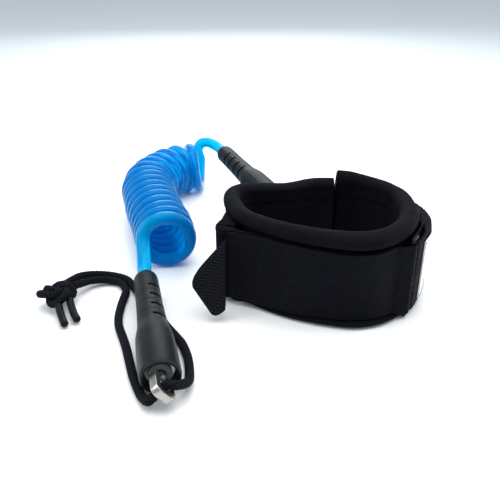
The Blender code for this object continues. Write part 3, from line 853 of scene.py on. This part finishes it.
def build_eye(side, matrix, lean_degrees, body, finish):
    """The forged eye: a flat plate with a hole and eased edges, on a turned stem."""
    ease = 0.5
    curve = bpy.data.curves.new("eye_outline", "CURVE")
    curve.dimensions = "2D"
    curve.fill_mode = "BOTH"
    curve.extrude = (EYE_THICK / 2 - ease) * MM
    curve.bevel_depth = ease * MM
    curve.bevel_resolution = 3
    middle = EYE_TIP - EYE_WALL - EYE_HOLE[1] / 2
    outline = rounded_outline(EYE_WIDE - 2 * ease, EYE_START + ease, EYE_TIP - ease, 1.0, 3.0)
    half = EYE_HOLE[1] / 2 + ease
    hole = rounded_outline(EYE_HOLE[0] + 2 * ease, middle - half, middle + half, 2.2, 2.2)
    for points in (outline, hole):
        line = curve.splines.new("POLY")
        line.use_cyclic_u = True
        line.points.add(len(points) - 1)
        for place, (x, y) in zip(line.points, points):
            place.co = (x * MM, y * MM, 0, 1)
    helper = bpy.data.objects.new("eye_outline", curve)
    show(helper)
    plate = bpy.data.meshes.new_from_object(helper.evaluated_get(bpy.context.evaluated_depsgraph_get()))
    bpy.data.objects.remove(helper)
    lean = matrix @ Matrix.Rotation(math.radians(lean_degrees), 4, "Z")
    upright = Matrix(((1, 0, 0, 0), (0, 0, -1, 0), (0, 1, 0, 0), (0, 0, 0, 1)))
    place = Matrix.Translation(world(lean.translation)) @ lean.to_3x3().to_4x4() @ upright
    plate.transform(place)
    stem = [
        (0, EYE_START + 1.5), (STEM_R - 0.3, EYE_START + 1.5), (STEM_R, EYE_START + 1.2), (STEM_R, 71.4),
        (4.3, 71.4), (4.5, 71.2), (4.5, 65), (0, 65),
    ]
    joined = bmesh.new()
    joined.from_mesh(plate)
    bmesh.ops.remove_doubles(joined, verts=joined.verts, dist=0.00001)
    joined.from_mesh(revolved("stem", stem, matrix))
    bmesh.ops.recalc_face_normals(joined, faces=joined.faces)
    data = filled(bpy.data.meshes.new(f"{side}_forged_eye"), joined)
    data.shade_smooth()
    data.set_sharp_from_angle(angle=math.radians(35))
    return link(f"{side}_forged_eye", data, finish, body, (f"{side}_swivel_eye",))


def build_swivels():
    rubber, metal, grey, blue = grip_rubber(), steel(), washer(), urethane()
    grips = {}
    for side, matrix, lean, grip_body, eye_body in (
        ("board", BOARD, BOARD_EYE_LEAN, "front_grip", "board_end"),
        ("cuff", REAR, REAR_EYE_LEAN, "rear_grip", "line"),
    ):
        grips[side] = build_grip(side, matrix, grip_body, rubber)
        build_eye(side, matrix, lean, eye_body, metal)
        ring = [(r, WASHER_PLACE + z) for r, z in WASHER_PROFILE]
        data = revolved(f"{side}_washer_ring", ring, matrix)
        link(f"{side}_washer_ring", data, grey, grip_body, (f"{side}_swivel_washer",))
        repaint(f"{side}_swivel_barrel", metal)
        repaint(f"{side}_cord_stop", blue)
    return grips


def repaint(node, finish):
    """A carried-over node keeps its shape and takes a new finish."""
    piece = frame["nodes"][node]
    for slot in piece.material_slots:
        slot.link = "OBJECT"
        slot.material = finish


# ---- the cuff


def pad_lift(along):
    """The rim dips at the back left, and its far end stands up at the seam."""
    dip = -3.0 * math.exp(-(((along - 0.12) / 0.07) ** 2))
    stand = 3.5 * math.exp(-(((1.0 - along) / 0.05) ** 2))
    return dip + stand


def pad_section():
    """Rolled rims, a face pressed in by the strap, and a sewn groove along the inner face."""
    foot = arc((2.2, 2.2), 4.4, 2.2, -90, 0, 6)
    shelf = [(5.6, 2.6), (2.6, 2.75)]
    face = [(PAD_STRAP_FACE, h) for h in np.linspace(3.6, STRAP_HIGH - 0.4, 18)]
    under_rim = [(1.9, STRAP_HIGH + 0.4), (3.6, STRAP_HIGH + 1.1)]
    rim = arc((0, PAD_HEIGHT - PAD_HALF), PAD_HALF + 0.3, PAD_HALF, -14, 180, 16)
    inner_high = [(-PAD_HALF, h) for h in (44.8, 42.8, 41.2, 40.0)]
    seam = [(-4.45, 39.2), (-3.9, 38.6), (-3.7, SEAM_HEIGHT), (-3.9, 37.8), (-4.45, 37.2)]
    inner_low = [(-PAD_HALF, h) for h in np.linspace(36.2, 12, 11)]
    toe = [(-4.5, 9), (-4.0, 5.5), (-3.3, 2.8), (-2.3, 0.9), (-1.0, 0.1), (0.6, 0.0)]
    return foot + shelf + face + under_rim + rim + inner_high + seam + inner_low + toe


PAD_ENDS = ((12.9, 36.9), (13.3, 40.5))  # the cushion's two ends butt at the back
PAD_SWELL = 1.0  # how far the cushion of the pad may swell
PAD_CLOTH = {
    "quality": 4, "mass": 0.3, "tension_stiffness": 12, "compression_stiffness": 12, "bending_stiffness": 0.6,
    "use_pressure": True, "uniform_pressure_force": 4, "vertex_group_mass": "held",
}
RIPPLE_DEPTH = 0.45
END_ROUND = 2.2
FOOT_BULGE = 1.8  # the pad swells over and under the strap at the front
RIM_BULGE = 1.7
RIM_DROOP = 1.3
STRAP_SAG = 1.9
STRAP_RISE = 1.0
PILE_RISE = 3.2
PILE_FILL = 9.5
TAB_LEAN = 1.0
TAB_CLEAR = 1.3  # between the closing strap's end and the pull tab
TAB_HALF = 2.3  # half of the pull tab's loop, from front to back
TAB_WIDE = 25


def in_front(p):
    """1 at the middle of the cuff's front, fading to both sides."""
    return math.exp(-(((p[0] - 14) / 24) ** 2)) if p[1] < -10 else 0.0


def at_left(p):
    """1 at the loose corner on the left, where the base strap stands up."""
    return math.exp(-(((p[0] + 50) / 12) ** 2) - (((p[1] - 8) / 17) ** 2))


def upper(up, reach=12.0):
    return max(0.0, 1 - (STRAP_HIGH - up) / reach)


def lower(up, reach=12.0):
    return max(0.0, 1 - (up - STRAP_LOW) / reach)


def flare(p):
    """How far the outer run of the ring's webbing stands off the inner one, in millimetres."""
    return max(0.0, p[0] - 53.4) if p[1] > -24 else 0.0


def swell(piece, held):
    """A short cloth run under pressure; held are the vertices that the strap and the seam keep in place."""
    rest = np.array([v.co for v in piece.data.vertices])
    group = piece.vertex_groups.new(name="held")
    group.add([int(i) for i in held], 1.0, "REPLACE")
    cloth = piece.modifiers.new("cloth", "CLOTH")
    for setting, value in PAD_CLOTH.items():
        setattr(cloth.settings, setting, value)
    cloth.settings.effector_weights.gravity = 0
    cloth.collision_settings.use_collision = False
    cloth.collision_settings.use_self_collision = False
    scene = bpy.context.scene
    for number in range(1, 21):
        scene.frame_set(number)
    after = piece.evaluated_get(bpy.context.evaluated_depsgraph_get()).to_mesh()
    moved = np.array([v.co for v in after.vertices])
    piece.modifiers.remove(cloth)
    scene.frame_set(1)
    shift = moved - rest
    far = np.linalg.norm(shift, axis=1)
    shift *= np.minimum(1, PAD_SWELL * MM / np.maximum(far, 1e-9))[:, None]
    return rest, shift


def is_held(out, up):
    """Whether the strap, the floor or the sewn line keeps this point of the pad's section in place."""
    behind_strap = out > 0 and 2.3 < up < 44.2
    on_floor = up < 1.2
    in_seam = abs(up - SEAM_HEIGHT) < 0.7 and out < 0
    return behind_strap or on_floor or in_seam


def ripple(p):
    """Uneven surface of the cushion, about -1 to 1, at a point in metres."""
    return 0.9 * noise.noise(Vector(p) * 70) + 0.45 * noise.noise(Vector(p) * 190 + Vector((7, 3, 1)))


def build_pad():
    first, last = PAD_ENDS
    route = smooth([Vector(p) for p in (first, *PAD_ROUTE[1:-1], last)], 1.6)
    section = pad_section()
    whole = lengths([p[:2] for p in route])[-1]

    def rim(p, share, out, up):
        rise = pad_lift(share) * max(0.0, (up - RIM_START) / (PAD_HEIGHT - RIM_START))
        end = min(min(share, 1 - share) * whole, END_ROUND)
        round_off = 0.72 + 0.28 * math.sqrt(1 - (1 - end / END_ROUND) ** 2)
        front = in_front(p)
        if up < STRAP_LOW and out > 0:
            out += FOOT_BULGE * front * min(1, out / 4)
            up *= 1 + 0.35 * front
        if up > STRAP_HIGH and out > 1:
            out += RIM_BULGE * front * min(1, out / 5)
            up -= RIM_DROOP * front * max(0.0, (47.5 - up) / 4)
        return out * round_off, up + rise

    rings = band_rings(route, section, rim)
    data = skin("neoprene_pad", rings, sharp=60)
    piece = bpy.data.objects.new("neoprene_pad", data)
    show(piece)
    across = len(section)
    kept = [k for k, (out, up) in enumerate(section) if is_held(out, up)]
    held = [i * across + k for i in range(len(route)) for k in kept]
    held += list(range(across)) + list(range((len(route) - 1) * across, len(route) * across))
    rest = np.array([v.co for v in data.vertices])
    shift = np.zeros_like(rest)
    rest, shift = swell(piece, held)
    out_ways = np.array([v.normal for v in data.vertices])
    free = np.ones(len(rest))
    free[held] = 0.15
    ripples = np.array([ripple(p) for p in rest])
    moved = rest + shift + out_ways * (ripples * free)[:, None] * RIPPLE_DEPTH * MM
    moved[:, 2] = np.maximum(moved[:, 2], 0.0)
    data.vertices.foreach_set("co", moved.astype(np.float32).ravel())
    data.update()
    finer = piece.modifiers.new("finer", "SUBSURF")
    finer.levels = finer.render_levels = 1
    data.materials.append(neoprene())
    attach(piece, "cuff")
    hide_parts("cuff_pad")

    stitch = zigzag(PAD_ROUTE, -4.35, SEAM_HEIGHT - 1.1, SEAM_HEIGHT + 1.1, 1.7)
    stitches("pad_seam_stitches", stitch[2:-2], 0.26, thread(), "cuff")


def cuff_routes():
    """Plan routes of the straps round the pad, as the part has them."""
    hug = PAD_STRAP_FACE + GAP + BASE_THICK / 2
    fine = smooth(PAD_ROUTE, 2.5)
    base_side = beside(fine, hug)
    back_left = base_side[nearest(fine, (-8, 37)) : nearest(fine, (-43, 28))]
    front = base_side[nearest(fine, (-19, -29)) : nearest(fine, (40, -23.5))]
    right = base_side[nearest(fine, (46, -12)) : nearest(fine, (30, 39))]
    corner = [
        (-48.5, 26), (-51, 19), (-50.6, 9), (-50.4, 1), (-52.8, -7), (-55.4, -13.6), (-53.4, -17.6),
        (-46, -19.6), (-37, -22.4),
    ]
    seam = [Vector((24, 44.1)), Vector((12, 43.7)), Vector((3, 41.8))]
    left_part = smooth([*seam, *back_left[::3], *corner, *front[2::3]], 3.0)
    base = [*right[::2], *left_part]

    inner = beside(right, BASE_THICK / 2 + GAP + TAB_THICK / 2)
    turn = arc(REAR_BAR, WRAP_R, WRAP_R, 149, 329, 8)
    outer = [Vector(p) for p in ((49, -27.6), (53.2, -19.5), (57, -9), (58.4, 3), (55.5, 18), (46.5, 35))]
    lead_in = beside(right, hug + 2.4)[2]
    inner_run = in_plan([lead_in, *inner[5:-1:3]])[::-1]
    ring_tab = smooth([*inner_run, *turn], 2.5) + smooth([turn[-1], *outer], 4.0)[1:]

    over_base = left_part[nearest(left_part, (-49, -19)) : nearest(left_part, (34, -33)) + 1]
    closing_off = BASE_THICK / 2 + 2 * GAP + HOOK_THICK + CLOSING_THICK / 2
    hug_line = beside(over_base, closing_off)
    outward = Vector((0.86, -0.51))
    tangent = (REAR_BAR - FRONT_BAR).normalized().xy
    lead = FRONT_BAR.xy - tangent * 4.4 - outward * 2.6
    wrap = arc(FRONT_BAR, WRAP_R, WRAP_R, -100, 124, 8)
    closing = smooth([*hug_line[::3], lead, *wrap], 2.5)
    hook = beside(over_base[1:18], BASE_THICK / 2 + GAP + HOOK_THICK / 2)
    return base, left_part, ring_tab, outer, closing, hook, hug_line[0]


def closing_edges(length):
    """Rounds the lower corner of the strap's free end, and lets the pad press its edges apart at the front.
    """
    corner = 5.0

    def shape(p, share, out, up):
        start = min(share * length, corner)
        lift = corner - math.sqrt(corner**2 - (corner - start) ** 2)
        front = in_front(p)
        up += lift * lower(up) + STRAP_RISE * front * lower(up) - STRAP_SAG * front * upper(up)
        return out, up + 0.2 * math.sin(share * 40) * upper(up)

    return shape


def ragged(amount, pitch, edge):
    """Rough selvedges: small bumps at the upper and lower edges of a band."""

    def shape(p, share, out, up):
        near = max(0.0, 1 - min(up - STRAP_LOW, STRAP_HIGH - up) / edge)
        bump = noise.noise(Vector((p[0] / pitch, p[1] / pitch, up / pitch)))
        return out * (1 + 0.5 * near * bump), up + amount * near * bump

    return shape


def base_edges(p, share, out, up):
    out, up = ragged(0.45, 1.1, 4)(p, share, out, up)
    up += (PILE_RISE * at_left(p) - STRAP_SAG * in_front(p)) * upper(up, 8.0)
    pocket = math.exp(-(((p[0] + 52) / 8) ** 2) - (((p[1] + 7) / 13) ** 2))
    if out < 0:
        out -= PILE_FILL * pocket
    return out, up


def tab_edges(p, share, out, up):
    """The outer run is sewn up against the inner one, and leans out at its top."""
    out, up = ragged(0.6, 1.3, 3)(p, share, out, up)
    stand = flare(p)
    if out < 0:
        out -= 0.85 * stand
    return out + TAB_LEAN * min(1, stand / 3) * (up - 23) / 20, up


def patch_lean(p, share, out, up):
    return out + TAB_LEAN * min(1, flare(p) / 3) * (up - 23) / 20, up


def build_straps():
    base, left_part, ring_tab, outer, closing, hook, strap_end = cuff_routes()
    pile, nylon, web = loop_pile(), ribbed_nylon(), herringbone()

    section = strip_section(BASE_THICK, STRAP_LOW, STRAP_HIGH)
    rings = band_rings(smooth(base, 1.2), section, base_edges)
    lay("base_strap_pile", rings, pile, "cuff", "base_strap")

    section = strip_section(TAB_THICK, STRAP_LOW, STRAP_HIGH, 1.5)
    rings = band_rings(smooth(ring_tab, 0.9), section, tab_edges)
    lay("ring_tab_webbing", rings, web, "cuff", "ring_tab")

    label = beside(smooth(outer, 3.0), TAB_THICK / 2 + GAP + LABEL_THICK / 2)[1:-3]
    rings = band_rings(smooth(label, 1.0), strip_section(LABEL_THICK, 6.5, 40.0, 1.5), patch_lean)
    lay("plain_patch", rings, patch_film(), "cuff", "label_patch")

    section = strip_section(CLOSING_THICK, STRAP_LOW, STRAP_HIGH)
    rings = band_rings(smooth(closing, 1.0), section, closing_edges(lengths(closing)[-1]))
    lay("closing_strap_nylon", rings, nylon, "strap", "closing_strap")

    rings = band_rings(smooth(hook, 1.2), strip_section(HOOK_THICK, STRAP_LOW + 1, STRAP_HIGH - 1))
    lay("hook_panel_pile", rings, pile, "strap", "hook_panel")

    sewing = thread()
    top = zigzag(left_part[4:42], BASE_THICK / 2 + 0.1, STRAP_HIGH - 2.6, STRAP_HIGH - 0.7, 1.3)
    stitches("base_strap_stitches", top, 0.24, sewing, "cuff")
    rows = []
    line = beside(in_plan(smooth(closing, 1.0)), CLOSING_THICK / 2 + 0.05)
    heights = np.arange(STRAP_LOW + 4.5, STRAP_HIGH - 4.5, 2.6)
    for spot in (line[3], line[5]):
        rows += [((spot.x, spot.y, h), (spot.x, spot.y, h + 1.9)) for h in heights]
    stitches("closing_strap_stitches", rows, 0.24, sewing, "strap")
    plan = beside(in_plan(smooth(label, 2.4)), LABEL_THICK / 2 + 0.05)
    ends = [(a, a.lerp(b, 0.75)) for a, b in zip(plan, plan[1:])]
    rows = [((*a, height), (*b, height)) for height in (7.6, 38.9) for a, b in ends]
    stitches("plain_patch_stitches", rows, 0.2, sewing, "cuff")
    build_pull_tab(strap_end, web)
    build_anchor(base, web)
    repaint("strap_ring", moulded_plastic())


def build_pull_tab(strap_end, web):
    """The webbing loop on the strap's free end, hanging forwards and down."""
    fold = Vector((0.533, -0.158, -0.831)).normalized()
    length = Vector((-14.5, -10, -14)).normalized()
    length = (length - fold * length.dot(fold)).normalized()
    across = fold.cross(length)
    matrix = Matrix((length, across, fold)).transposed().to_4x4()
    matrix.translation = TAB_ROOT
    bend = [(2, 0.95), (8, 1.3), (18, TAB_HALF), (27, TAB_HALF), (29.6, 1.5), (30.4, 0)]
    route = [Vector((x, -y)) for x, y in bend] + in_plan(bend[-2::-1])
    rings = np.array(band_rings(smooth(smooth(route, 2.0), 0.6), strip_section(1.5, 0, TAB_WIDE, 1.2)))
    inwards = np.clip((rings[:, :, 0] - 20) / 10.6, 0, 1)
    middle = TAB_WIDE / 2
    rings[:, :, 2] = middle + (rings[:, :, 2] - middle) * (0.74 + 0.26 * np.sqrt(1 - inwards**2))
    rings[:, :, 2] += 0.25 * rings[:, :, 0]
    data = skin("pull_tab_webbing", rings, matrix=matrix)
    trim = bmesh.new()
    trim.from_mesh(data)
    kept = bmesh.ops.bisect_plane(
        trim, geom=[*trim.verts, *trim.edges, *trim.faces], dist=1e-7,
        plane_co=world((strap_end.x - TAB_CLEAR, 0, 0)), plane_no=(1, 0, 0), clear_outer=True,
    )
    rim = [e for e in kept["geom_cut"] if isinstance(e, bmesh.types.BMEdge)]
    bmesh.ops.holes_fill(trim, edges=rim)
    link("pull_tab_webbing", filled(data, trim), web, "tab", ("pull_tab",))


def build_anchor(base, web):
    """The cord loop and its patch on the back of the cuff."""
    eye = REAR @ Vector((0, 0, STRING_PLACE))
    centre = eye.xy + (REAR_END - REAR_MOUTH).xy.normalized() * LOOP_R
    right, left = centre.x + LOOP_R, centre.x - LOOP_R
    plan = [(right, LOOP_START_Y), (right, centre.y - 6), *arc(centre, LOOP_R, LOOP_R, 0, 180, 10)]
    plan += [(left, centre.y - 6), (left, LOOP_START_Y)]
    line = smooth([(*p, eye.z) for p in plan], 0.55)
    rings = tube_rings(line, STRING_D / 2, 24, braid_relief(STRING_D))
    lay("anchor_loop_braid", rings, braid(), "cuff", "anchor_loop")
    low, high = nearest(base, (centre.x + 14, 40)), nearest(base, (centre.x - 14, 38))
    patch = beside(base[low : high + 1], BASE_THICK / 2 + GAP + PATCH_THICK / 2)
    rings = band_rings(smooth(patch, 1.0), strip_section(PATCH_THICK, 8, 38, 1.5))
    lay("anchor_patch_webbing", rings, web, "cuff", "anchor_patch")


def main():
    build_stage()
    cord, path, length = build_cord()
    grips = build_swivels()
    build_string()
    build_pad()
    build_straps()


main()
